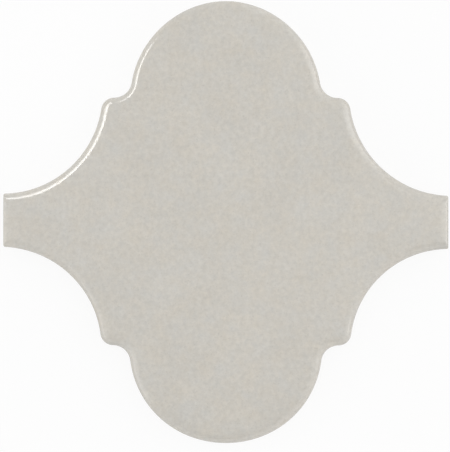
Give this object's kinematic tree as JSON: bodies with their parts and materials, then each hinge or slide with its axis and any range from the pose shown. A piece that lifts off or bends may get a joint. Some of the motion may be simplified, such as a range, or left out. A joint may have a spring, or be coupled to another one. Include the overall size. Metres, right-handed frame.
{
  "type": "arabesque wall tile",
  "caption": "Glazed wall tile with round lobes, small shoulders, hollow sockets and straight ends, shaped so that its neighbours lock round it in an even joint.",
  "frame": {"origin": "middle of the back of the tile, level with its ribs and rim", "axes": "+Z out of the glazed face, +Y through the upper lobe, +X through the right straight end"},
  "size_m": [0.12, 0.1194, 0.008],
  "materials": {
    "glazed_body": "warm light grey gloss glaze on the face and rolled edge, bare fired clay on the lower sides and back"
  },
  "bodies": {
    "root": {"arabesque_tile": "glazed_body"}
  },
  "joints": []
}
